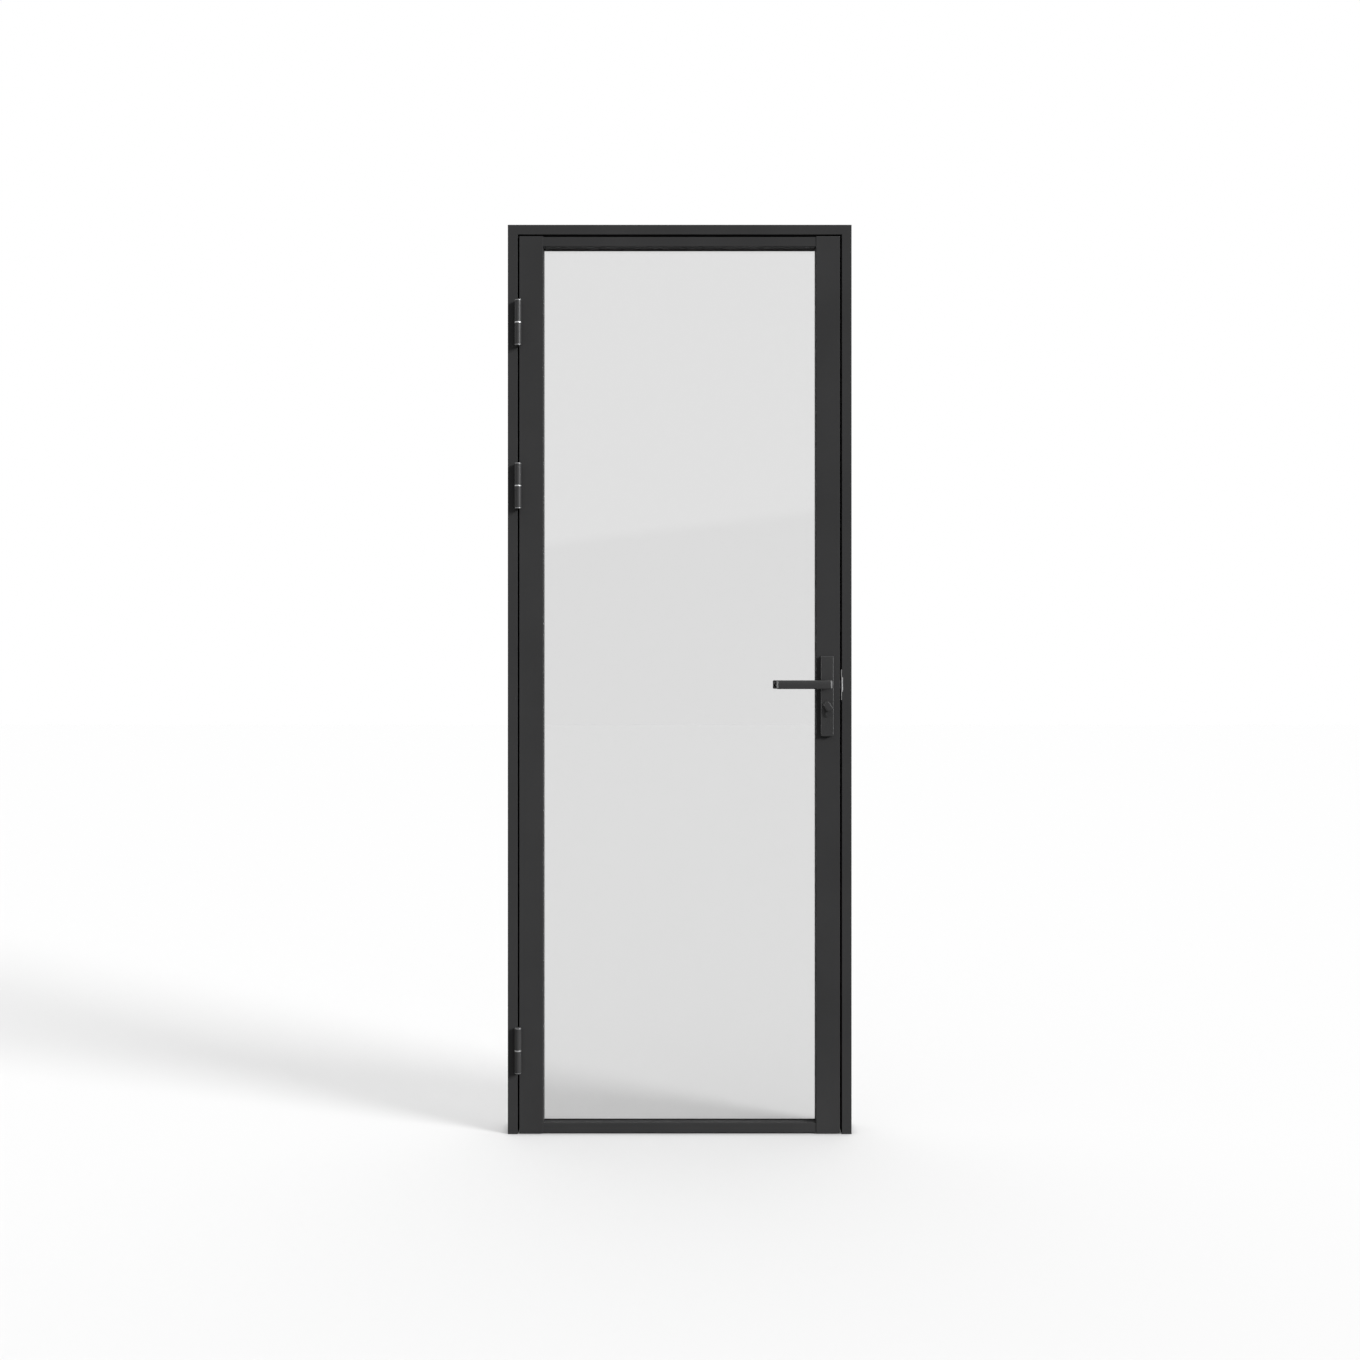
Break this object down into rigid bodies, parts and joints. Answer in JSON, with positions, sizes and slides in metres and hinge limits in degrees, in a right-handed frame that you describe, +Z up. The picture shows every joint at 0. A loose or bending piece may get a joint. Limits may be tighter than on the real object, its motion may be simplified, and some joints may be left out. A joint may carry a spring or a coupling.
{
  "type": "hinged glass door with frame",
  "caption": "Tall single-leaf glass door in a slim dark aluminium frame, hung on barrel hinges on the left, with a straight lever handle, latch, thumb turn and deadbolt on the right.",
  "frame": {"origin": "on the floor, at half the frame's width, in the middle of the leaf's thickness", "axes": "+Z up, +X to the lock side seen from the hinge-barrel side, +Y through the closed door away from that viewer"},
  "size_m": [0.794, 0.148, 2.1],
  "materials": {
    "coated_aluminium": "matt powder coat, near black",
    "black_hardware": "fine matt coat, near black",
    "black_handle": "fine matt coat, near black",
    "bright_steel": "brushed",
    "zinc_steel": "zinc plated",
    "cast_cleat": "as cast",
    "black_rubber": "matt",
    "black_plastic": "matt",
    "clear_glass": "clear, polished"
  },
  "bodies": {
    "frame": {"hinge_jamb": "coated_aluminium", "lock_jamb": "coated_aluminium", "head": "coated_aluminium", "corner_cleats": "cast_cleat", "frame_seal": "black_rubber", "strike_plate": "bright_steel", "strike_screws": "zinc_steel", "low_hinge_frame_flag": "black_hardware", "mid_hinge_frame_flag": "black_hardware", "top_hinge_frame_flag": "black_hardware", "low_hinge_pin": "zinc_steel", "mid_hinge_pin": "zinc_steel", "top_hinge_pin": "zinc_steel", "low_hinge_washer": "bright_steel", "mid_hinge_washer": "bright_steel", "top_hinge_washer": "bright_steel", "hinge_bottom_caps": "bright_steel", "hinge_frame_screws": "zinc_steel"},
    "leaf": {"hinge_stile": "coated_aluminium", "lock_stile": "coated_aluminium", "top_rail": "coated_aluminium", "bottom_rail": "coated_aluminium", "glass_pane": "clear_glass", "front_gasket": "black_rubber", "rear_gasket": "black_rubber", "hinge_bead": "coated_aluminium", "lock_bead": "coated_aluminium", "top_bead": "coated_aluminium", "bottom_bead": "coated_aluminium", "setting_blocks": "black_plastic", "rail_screws": "zinc_steel", "stile_end_caps": "black_plastic", "bottom_seal": "black_rubber", "low_hinge_leaf_flag": "black_hardware", "mid_hinge_leaf_flag": "black_hardware", "top_hinge_leaf_flag": "black_hardware", "hinge_top_caps": "bright_steel", "hinge_leaf_screws": "zinc_steel", "lock_case": "zinc_steel", "lock_forend": "bright_steel", "lock_lugs": "zinc_steel", "forend_screws": "zinc_steel", "front_plate": "black_handle", "rear_plate": "black_handle", "plate_bolts": "zinc_steel", "lock_cylinder": "bright_steel", "key_plug": "bright_steel", "cylinder_screw": "zinc_steel"},
    "lever": {"front_lever": "black_handle", "rear_lever": "black_handle", "spindle": "zinc_steel", "follower": "zinc_steel", "lever_grub_screws": "zinc_steel"},
    "latch": {"latch_bolt": "zinc_steel"},
    "turn": {"thumb_turn": "black_handle", "cylinder_cam": "zinc_steel"},
    "bolt": {"deadbolt": "zinc_steel"}
  },
  "joints": [
    {"name": "leaf_swing", "type": "hinge", "parent": "frame", "child": "leaf", "pos_m": [-0.3725, -0.0331, 0], "axis": [0, 0, -1], "range_deg": [0, 170]},
    {"name": "lever_turn", "type": "hinge", "parent": "leaf", "child": "lever", "pos_m": [0.34, 0, 1.038], "axis": [0, -1, 0], "range_deg": [0, 45], "stiffness_Nm_per_rad": 2, "springref_deg": -28.65},
    {"name": "latch_slide", "type": "slide", "parent": "leaf", "child": "latch", "axis": [-1, 0, 0], "range_m": [0, 0.011]},
    {"name": "lock_turn", "type": "hinge", "parent": "leaf", "child": "turn", "pos_m": [0.34, 0, 0.988], "axis": [0, 1, 0], "range_deg": [0, 90]},
    {"name": "deadbolt_slide", "type": "slide", "parent": "leaf", "child": "bolt", "axis": [1, 0, 0], "range_m": [0, 0.016]}
  ],
  "couplings": [
    {"joint": "latch_slide", "follows": "lever_turn", "m_per_rad": 0.014},
    {"joint": "lock_turn", "follows": "deadbolt_slide", "rad_per_m": 98.17}
  ]
}
